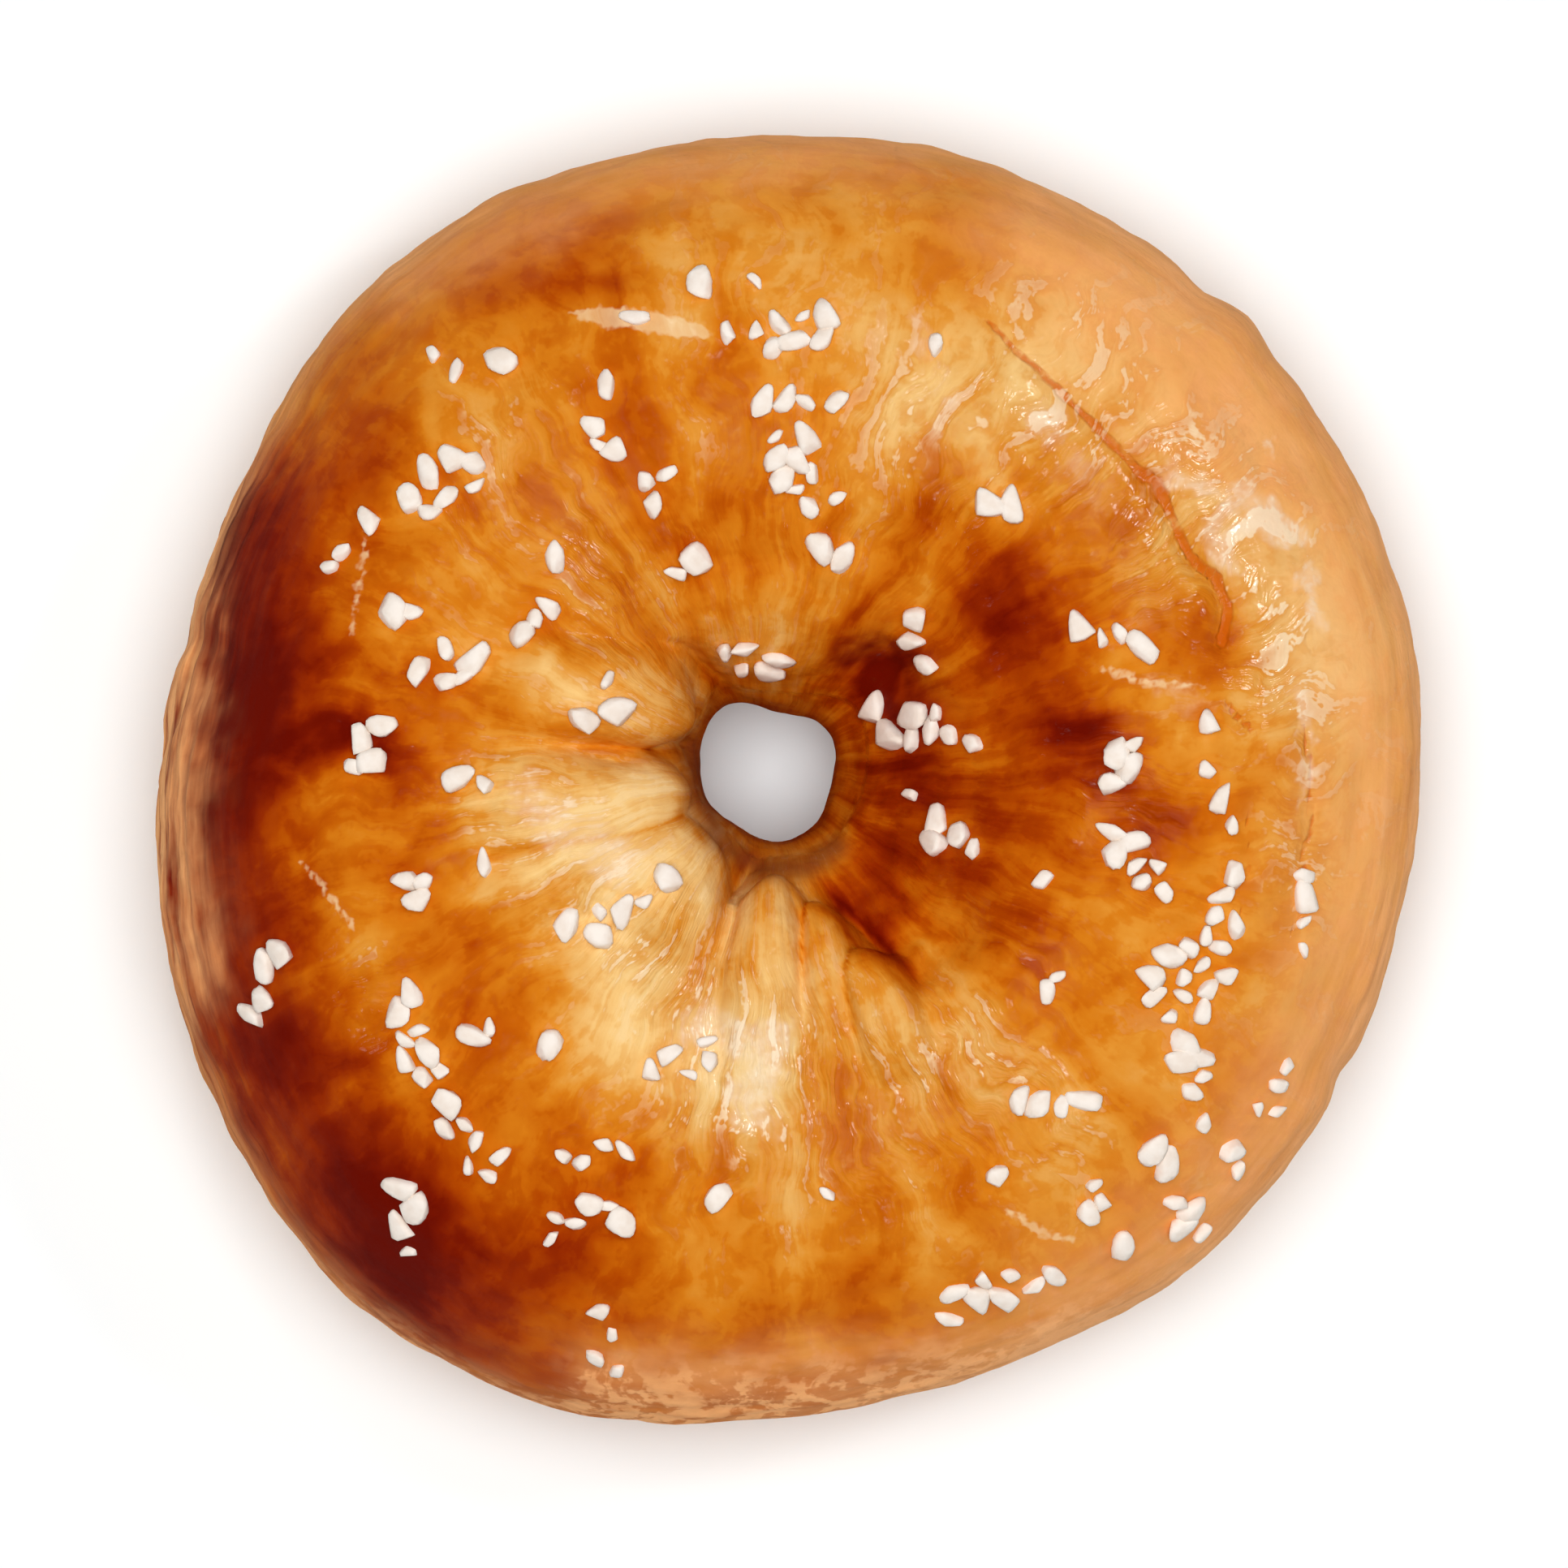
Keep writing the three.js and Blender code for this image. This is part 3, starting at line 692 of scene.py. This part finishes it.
def paint_crust(mesh, points, bearing, turn):
    """Stores what the crust's finish varies with."""
    x, y, _ = points.T
    up, out = np.sin(turn), np.cos(turn)
    inner = 1 - smooth_step(-0.3, 0.1, out)
    outer = smooth_step(-0.2, 0.3, out)
    above = smooth_step(-0.35, 0.3, up + 0.4 * inner)
    over = smooth_step(0, RELIEF_WHOLE, up)
    rim = outer * (1 - smooth_step(0.35, 0.95, up))
    pitted = outer * (1 - smooth_step(0.4, 0.8, up)) * bearings_at(PITTED_WINDOWS, bearing)
    ridged = PLAIN_RIDGES + bearings_at(RIDGE_WINDOWS, bearing)
    wall = inner * (1 - smooth_step(0.0, 0.35, up))
    drifted = drifted_places(points)
    # Painted shade: darker in the bottoms of the creases and where two lobes meet
    fold_shade, cut_gap = creases_at(x, y)
    fold_shade = np.minimum(fold_shade, DEEPEST_SHADED_FOLD) ** 2 + LOBE_MEETING_SHADE * lobes_at(x, y)[1]
    swayed = bearing + 0.06 * cloud_at(points, 7.0, 5.0), turn + 0.2 * cloud_at(points, 4.0, 17.0)
    fan = noise_at(flow_places(*swayed, *FAN_CELLS, 3.0), 4) * (1 - rim)

    # Browning together with the painted shade and sheen of the patches, the folds and the hole's wall
    bake = PLAIN_BAKE + patches_at(BAKE_AND_LIGHT_LINES, *drifted) * above + UNDERSIDE_BAKE * (1 - above)
    bake = bake + PITTED_BAKE * pitted + FOLD_SHADE * over * fold_shade + FAN_BAKE * fan
    bake = bake + UNEVEN_BAKE * cloud_at(points, UNEVEN_SIZE, 31.0, 4)
    # Darker down the wall inside the hole: partly browning, partly painted shade
    bake = bake + WALL_BAKE_AND_SHADE_SHARE * wall * np.maximum(0, WALL_BAKE_AND_SHADE - bake)
    # Peach also towards the lower outer side: partly unglazed skin, partly painted rim sheen
    dry = patches_at(DRY_AND_RIM_SHEEN_LINES, *drifted) * above + 0.6 * outer * (1 - smooth_step(0.0, 0.5, up))
    stored = {
        "bake": bake,
        "dry": dry,
        "wet": patches_at(WET_LINES, x, y) * above,
        "glaze": PLAIN_GLAZE + patches_at(GLAZE_LINES, *drifted) * over,
        "sheen": patches_at(SHEEN_LINES, *drifted) * over,
        "cut_gap": FAR + (cut_gap - FAR) * over,
        "tear_gap": FAR + (tears_at(x, y) - FAR) * over,
        "rim": rim,
        "ridges": rim * ridged,
        "pitted": pitted,
    }
    for name, values in stored.items():
        set_attribute(mesh, name, values)
    set_places(mesh, "flow", flow_places(bearing, turn, 1.0, 1.0))
    set_places(mesh, "swayed_flow", flow_places(*swayed, 1.0, 1.0))


# Salt


def seeded_draws(seed):
    """The same draws in the same order each run, from 0 to 1."""
    state = seed
    while True:
        state = (state * DRAW_FACTOR + DRAW_STEP) % DRAW_RANGE
        yield state / DRAW_RANGE


def draw_grains():
    """Where each grain lies: its place in plan, its size, its heading and draws for its form."""
    draws = seeded_draws(SALT_SEED)
    grains = []
    for x, y, count, half_length, half_width, heading in HANDFULS:
        cos, sin = math.cos(math.radians(heading)), math.sin(math.radians(heading))
        placed = 0
        for _ in range(TRIES):
            if placed == count:
                break
            spin, reach = 2 * math.pi * next(draws), math.sqrt(next(draws))
            along, aside = half_length * reach * math.cos(spin), half_width * reach * math.sin(spin)
            spot = Vector((x + along * cos - aside * sin, y + along * sin + aside * cos))
            if any((grain["spot"] - spot).length < GRAIN_SPACING for grain in grains):
                continue
            length = GRAIN_LENGTH * (LEAST_LENGTH + LENGTH_SPAN * next(draws) ** 1.3)
            width = length * (LEAST_WIDTH + WIDTH_SPAN * next(draws))
            size = Vector((length, width, GRAIN_HEIGHT * math.sqrt(width)))
            turned = math.pi * next(draws)
            form = [next(draws) for _ in range(3 + 3 * GRAIN_CHIPS)]
            grains.append({"spot": spot, "size": size, "turned": turned, "form": form})
            placed += 1
    return grains


def crown_at(x, y):
    """The crust over a plan point, with the direction that it faces."""
    bearing, turn = turn_over(x, y)
    step = 0.01
    bearings = bearing + step * np.array([0, -1, 1, 0, 0])
    turns = turn + step * np.array([0, 0, 0, -1, 1])
    point, before, after, under, over = (Vector(p) for p in crust_points(bearings, turns, fine=False))
    return point, (after - before).cross(over - under).normalized()


def grain_lump(form):
    """A box with rounded faces, narrower to one end and broken off at its sides, one unit each way."""
    lump = bmesh.new()
    bmesh.ops.create_cube(lump, size=2.0)
    bmesh.ops.subdivide_edges(lump, edges=lump.edges[:], cuts=GRAIN_CUTS, use_grid_fill=True)
    taper, bend, fullness, *chips = form
    taper = MOST_TAPER * taper**2
    bend = MOST_BEND * (bend - 0.5)
    fullness = LEAST_FULLNESS + FULLNESS_SPAN * fullness
    chips = [Vector(chips[i : i + 3]) - Vector((0.5, 0.5, 0.5)) for i in range(0, len(chips), 3)]
    outward_sides = [Vector((chip.x, chip.y, CHIP_TILT * chip.z)).normalized() for chip in chips]
    for vert in lump.verts:
        reach = sum(abs(side) ** fullness for side in vert.co) ** (-1 / fullness)
        x, y, z = vert.co * reach
        y = (y + bend * x * x) * (1 - taper * x) / (1 + 0.5 * taper)
        spot = Vector((x, y, z * (1 - 0.5 * taper * x)))
        for outward in outward_sides:
            spot -= outward * max(0.0, spot.dot(outward) - GRAIN_CHIP)
        vert.co = spot / 2
    bmesh.ops.smooth_vert(
        lump, verts=lump.verts, factor=GRAIN_SMOOTHING, use_axis_x=True, use_axis_y=True, use_axis_z=True
    )
    return lump


def add_grain(salt, grain):
    """One grain, sunk a little into the crust and lying along it."""
    lump = grain_lump(grain["form"])
    point, normal = crown_at(*grain["spot"])
    lying = Vector((0, 0, 1)).rotation_difference(normal).to_matrix().to_4x4()
    lying = lying @ Matrix.Rotation(grain["turned"], 4, "Z") @ Matrix.Diagonal((*grain["size"], 1))
    lift = point + normal * grain["size"].z * (0.5 - GRAIN_SINK)
    placed = Matrix.Scale(MM, 4) @ Matrix.Translation(lift) @ lying
    bmesh.ops.transform(lump, matrix=placed, verts=lump.verts)
    mesh = bpy.data.meshes.new("grain")
    lump.to_mesh(mesh)
    lump.free()
    salt.from_mesh(mesh)
    bpy.data.meshes.remove(mesh)


def make_salt():
    """All the salt grains as one piece."""
    salt = bmesh.new()
    for grain in draw_grains():
        add_grain(salt, grain)
    bmesh.ops.recalc_face_normals(salt, faces=salt.faces)
    mesh = bpy.data.meshes.new("salt_grains")
    salt.to_mesh(mesh)
    salt.free()
    mesh.shade_smooth()
    grains = bpy.data.objects.new("salt_grains", mesh)
    bpy.context.collection.objects.link(grains)
    return grains


# Finishes


class Shade:
    """A shader socket that can be used in sums and products, and that adds any other node."""

    def __init__(self, tree, socket=None):
        self.tree = tree
        self.socket = socket

    def node(self, kind, settings, sockets, output=0):
        made = self.tree.nodes.new(kind)
        for name, value in settings.items():
            if name == "stops":
                set_stops(made.color_ramp, value)
            else:
                setattr(made, name, value)
        for name, value in sockets.items():
            if isinstance(value, Shade):
                self.tree.links.new(value.socket, made.inputs[name])
            else:
                made.inputs[name].default_value = value
        return Shade(self.tree, made.outputs[output])

    def math(self, operation, *values):
        return self.node("ShaderNodeMath", {"operation": operation}, dict(enumerate(values)))

    def __add__(self, other):
        return self.math("ADD", self, other)

    __radd__ = __add__

    def __sub__(self, other):
        return self.math("SUBTRACT", self, other)

    def __rsub__(self, other):
        return self.math("SUBTRACT", other, self)

    def __mul__(self, other):
        return self.math("MULTIPLY", self, other)

    __rmul__ = __mul__

    def clamped(self):
        return self.node("ShaderNodeClamp", {}, {"Value": self})

    def rising(self, low, high):
        """0 below low, 1 above high, and a soft rise between them."""
        bounds = {"Value": self, "From Min": low, "From Max": high}
        return self.node("ShaderNodeMapRange", {"interpolation_type": "SMOOTHSTEP"}, bounds)

    def mixed(self, colour, share):
        """This colour with a share of another colour over it."""
        return self.node("ShaderNodeMix", {"data_type": "RGBA"}, {0: share, 6: self, 7: colour}, 2)


def set_stops(ramp, stops):
    """Gives a colour ramp its stops."""
    while len(ramp.elements) > 1:
        ramp.elements.remove(ramp.elements[-1])
    ramp.elements[0].position, ramp.elements[0].color = stops[0]
    for position, colour in stops[1:]:
        ramp.elements.new(position).color = colour


def paint(red, green, blue):
    """A colour given as it looks on a screen, from 0 to 255, as light."""
    shares = [channel / 255 for channel in (red, green, blue)]
    light = [s / 12.92 if s <= 0.04045 else ((s + 0.055) / 1.055) ** 2.4 for s in shares]
    return (*light, 1.0)


def blank_finish(name):
    """A new material with an empty node tree."""
    material = bpy.data.materials.new(name)
    material.use_nodes = True
    material.node_tree.nodes.clear()
    return material, Shade(material.node_tree)


# Tones from the palest to the most baked
CRUST_TONES = [
    (0.0, paint(246, 214, 160)),
    (0.15, paint(240, 194, 122)),
    (0.3, paint(228, 168, 88)),
    (0.42, paint(220, 142, 46)),
    (0.52, paint(210, 120, 20)),
    (0.62, paint(196, 97, 6)),
    (0.72, paint(174, 68, 0)),
    (0.82, paint(148, 42, 0)),
    (0.92, paint(122, 22, 0)),
    (1.0, paint(104, 12, 0)),
]
# Peach of unglazed skin, partly a painted rim sheen
DRY_SKIN_AND_RIM_SHEEN = paint(253, 180, 115)
WET_SKIN = paint(146, 74, 34)
CUT_TONE = paint(206, 94, 10)
PAINTED_GLINT_TONE = paint(255, 232, 192)
SHEEN_TONE = paint(255, 236, 210)
TEAR_TONE = paint(240, 206, 156)
SALT_TONES = [(0.35, paint(238, 223, 209)), (0.6, paint(246, 235, 224))]
TABLE_TONE = paint(246, 250, 251)

# The bare skin, the glazed skin, and how strongly the crust and the salt are bumped
BARE_LAYER = {"Roughness": 0.6, "Specular IOR Level": 0.08}
GLAZED_LAYER = {"Roughness": 0.17, "Specular IOR Level": 0.8}
CRUST_BUMP = {"Strength": 1.0, "Distance": 0.001}
SALT_BUMP = {"Strength": 0.3, "Distance": 0.0003}

# How fine the clouds on the crust and the salt are, in cells per metre
MOTTLE_SCALE = 380.0
SPECK_SCALE = 1300.0
SALT_SCALE = 700.0

# How fine the wrinkles and ridges are, in cells a radian: round the hole (X and Y) and over the section
WRINKLE_FLOW = (24.0, 24.0, 3.0)
RIDGE_FLOW = (3.5, 3.5, 13.0)


def crust_finish():
    """Egg-washed crust, from cream through amber to mahogany, with painted glints along its wrinkles."""
    material, shade = blank_finish("crust")
    place = shade.node("ShaderNodeTexCoord", {}, {}, "Object")

    def stored(name, output="Fac"):
        return shade.node("ShaderNodeAttribute", {"attribute_name": name}, {}, output)

    def cloud(where, scale, detail=3.0, roughness=0.5):
        sockets = {"Vector": where, "Scale": scale, "Detail": detail, "Roughness": roughness}
        return shade.node("ShaderNodeTexNoise", {}, sockets, "Fac") - 0.5

    def stretched(flow, cells):
        sockets = {0: stored(flow, "Vector"), 1: cells}
        return shade.node("ShaderNodeVectorMath", {"operation": "MULTIPLY"}, sockets, "Vector")

    mottle = cloud(place, MOTTLE_SCALE, 3.0, 0.6)
    specks = cloud(place, SPECK_SCALE, 1.0)
    wrinkles = cloud(stretched("swayed_flow", WRINKLE_FLOW), 1.0, 3.0, 0.6)
    ridges = cloud(stretched("flow", RIDGE_FLOW), 1.0, 3.0, 0.6) * stored("ridges")
    glaze, dry = stored("glaze"), stored("dry")

    # Browning, with the painted shade and sheen stored along with it
    streaks = wrinkles * (0.1 + glaze * 0.45) * (1 - stored("rim"))
    blotches = (mottle + wrinkles * 0.8).rising(-0.06, 0.06) - 0.5
    uneven = (mottle * 0.16 + blotches * 0.05 + streaks) * (1.3 - stored("bake"))
    bake = stored("bake") + uneven - ridges * 0.6
    bake = bake.math("MAXIMUM", bake, 0.08)
    tone = shade.node("ShaderNodeValToRGB", {"stops": CRUST_TONES}, {"Fac": bake.clamped()}, "Color")

    # Dry skin, partly a painted rim sheen, and wet skin
    dry_and_rim_sheen_uneven = ridges * 5.0 + mottle * 0.9 + blotches * stored("pitted")
    tone = tone.mixed(DRY_SKIN_AND_RIM_SHEEN, (dry + dry * dry_and_rim_sheen_uneven).clamped())
    tone = tone.mixed(WET_SKIN, stored("wet").clamped())

    # Cuts and tears
    cut = 1 - (stored("cut_gap") + specks * 0.3 + mottle * 0.3).rising(-0.15, 0.15)
    tone = tone.mixed(CUT_TONE, cut * 0.75)
    torn = 1 - (stored("tear_gap") + wrinkles * 0.8 + specks).rising(-0.15, 0.25)
    tone = tone.mixed(TEAR_TONE, torn * (0.6 + wrinkles).clamped())

    # Painted glints along the wrinkles and a painted window reflection, on pale skin only
    pale = 1 - bake.rising(0.4, 0.6)
    painted_glints = (wrinkles + specks * 0.25 + mottle * 0.1).rising(0.07, 0.12) * glaze.clamped() * pale
    tone = tone.mixed(PAINTED_GLINT_TONE, painted_glints * 0.7)
    sheen = (stored("sheen") + mottle * 0.7 + wrinkles * 1.3).rising(0.3, 0.9) * pale
    crackle = (specks * 0.6 + wrinkles).rising(-0.1, 0.1)
    tone = tone.mixed(SHEEN_TONE, sheen * (0.25 + 0.2 * crackle))

    height = wrinkles * (glaze * 0.55 + 0.05) + ridges * 0.6 + specks * 0.07 + mottle * 0.12 - cut * 0.15
    bump = shade.node("ShaderNodeBump", {}, {**CRUST_BUMP, "Height": height * 0.7})
    layers = {
        0: (glaze * 0.8 + wrinkles * 0.8 + specks * 0.6).rising(0.1, 0.8),
        1: shade.node("ShaderNodeBsdfPrincipled", {}, {**BARE_LAYER, "Base Color": tone, "Normal": bump}),
        2: shade.node("ShaderNodeBsdfPrincipled", {}, {**GLAZED_LAYER, "Base Color": tone, "Normal": bump}),
    }
    shade_output(shade, shade.node("ShaderNodeMixShader", {}, layers))
    return material


def shade_output(shade, surface):
    """Ends a material's node tree."""
    node = shade.tree.nodes.new("ShaderNodeOutputMaterial")
    shade.tree.links.new(surface.socket, node.inputs["Surface"])


def salt_finish():
    """Coarse off-white salt."""
    material, shade = blank_finish("salt")
    place = shade.node("ShaderNodeTexCoord", {}, {}, "Object")
    sockets = {"Vector": place, "Scale": SALT_SCALE, "Detail": 3.0}
    cloud = shade.node("ShaderNodeTexNoise", {}, sockets, "Fac")
    tone = shade.node("ShaderNodeValToRGB", {"stops": SALT_TONES}, {"Fac": cloud}, "Color")
    bump = shade.node("ShaderNodeBump", {}, {**SALT_BUMP, "Height": cloud})
    sockets = {"Base Color": tone, "Roughness": 0.5, "Normal": bump}
    shade_output(shade, shade.node("ShaderNodeBsdfPrincipled", {}, sockets))
    return material


def floor_finish():
    """A plain white table top."""
    material, shade = blank_finish("floor")
    sockets = {"Base Color": TABLE_TONE, "Roughness": 0.9, "Specular IOR Level": 0.1}
    shade_output(shade, shade.node("ShaderNodeBsdfPrincipled", {}, sockets))
    return material


# Surroundings

# Lights: bearing, elevation and half the angle that each fills, in degrees, how bright it makes a white
# table, and whether it shows in the gloss. The one overhead gives the shade that hugs the outline, and the
# low ones light the sides.
SOFT_LIGHTS = [
    (0, 90, 18.0, 0.88, False),
    (25, 52, 3.5, 0.06, True),
    (95, 62, 3.0, 0.03, True),
    (200, 50, 2.0, 0.01, True),
    (300, 52, 2.0, 0.01, True),
    *[(bearing, 16, 12.0, 0.03, False) for bearing in range(0, 360, 120)],
]
SKY_LIGHT = 0.02
WHITE = (1.0, 1.0, 1.0, 1.0)

# In metres: how far the lights stand, and half the floor's width
LIGHT_DISTANCE = 2.5
FLOOR_REACH = 2.0

# The camera: where it stands over the bagel, how high over the waist, and how wide a piece it sees there
EYE_SPOT = (-0.46, -0.56)
EYE_HEIGHT = 1800.0
VIEW_WIDTH = 135.24


def add_floor():
    """A table top that doesn't belong to the bagel and isn't mirrored in its glaze."""
    floor = bmesh.new()
    bmesh.ops.create_grid(floor, x_segments=1, y_segments=1, size=FLOOR_REACH)
    mesh = bpy.data.meshes.new("floor")
    floor.to_mesh(mesh)
    floor.free()
    mesh.materials.append(floor_finish())
    table = bpy.data.objects.new("floor", mesh)
    table.visible_glossy = False
    bpy.context.collection.objects.link(table)


def add_soft_light(bearing, elevation, half_angle, level, in_gloss):
    """A soft round light that faces the bagel."""
    bearing, elevation, half_angle = map(math.radians, (bearing, elevation, half_angle))
    along = math.cos(elevation)
    towards = Vector((along * math.cos(bearing), along * math.sin(bearing), math.sin(elevation)))
    data = bpy.data.lights.new("soft_light", "AREA")
    data.shape = "DISK"
    data.size = 2 * LIGHT_DISTANCE * math.tan(half_angle)
    data.energy = level * (math.pi * LIGHT_DISTANCE / math.cos(half_angle)) ** 2 / towards.z
    light = bpy.data.objects.new("soft_light", data)
    light.location = towards * LIGHT_DISTANCE
    light.rotation_euler = towards.to_track_quat("Z", "Y").to_euler()
    light.visible_glossy = in_gloss
    bpy.context.collection.objects.link(light)


def add_sky():
    """A faint white sky that the glaze doesn't mirror."""
    world = bpy.data.worlds.new("sky")
    world.use_nodes = True
    sockets = world.node_tree.nodes["Background"].inputs
    sockets["Color"].default_value = WHITE
    sockets["Strength"].default_value = SKY_LIGHT
    world.cycles_visibility.glossy = False
    bpy.context.scene.world = world


def add_camera():
    """A camera that looks straight down, with a long lens."""
    data = bpy.data.cameras.new("camera")
    data.lens = data.sensor_width * EYE_HEIGHT / VIEW_WIDTH
    camera = bpy.data.objects.new("camera", data)
    camera.location = (EYE_SPOT[0] * MM, EYE_SPOT[1] * MM, (EYE_HEIGHT + WAIST_HEIGHT) * MM)
    bpy.context.collection.objects.link(camera)
    bpy.context.scene.camera = camera


crust = make_crust()
crust.data.materials.append(crust_finish())
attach(crust, "root")
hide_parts("bagel")

salt = make_salt()
salt.data.materials.append(salt_finish())
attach(salt, "root")
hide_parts("bagel")

add_floor()
for row in SOFT_LIGHTS:
    add_soft_light(*row)
add_sky()
add_camera()
bpy.context.scene.view_settings.view_transform = "Standard"
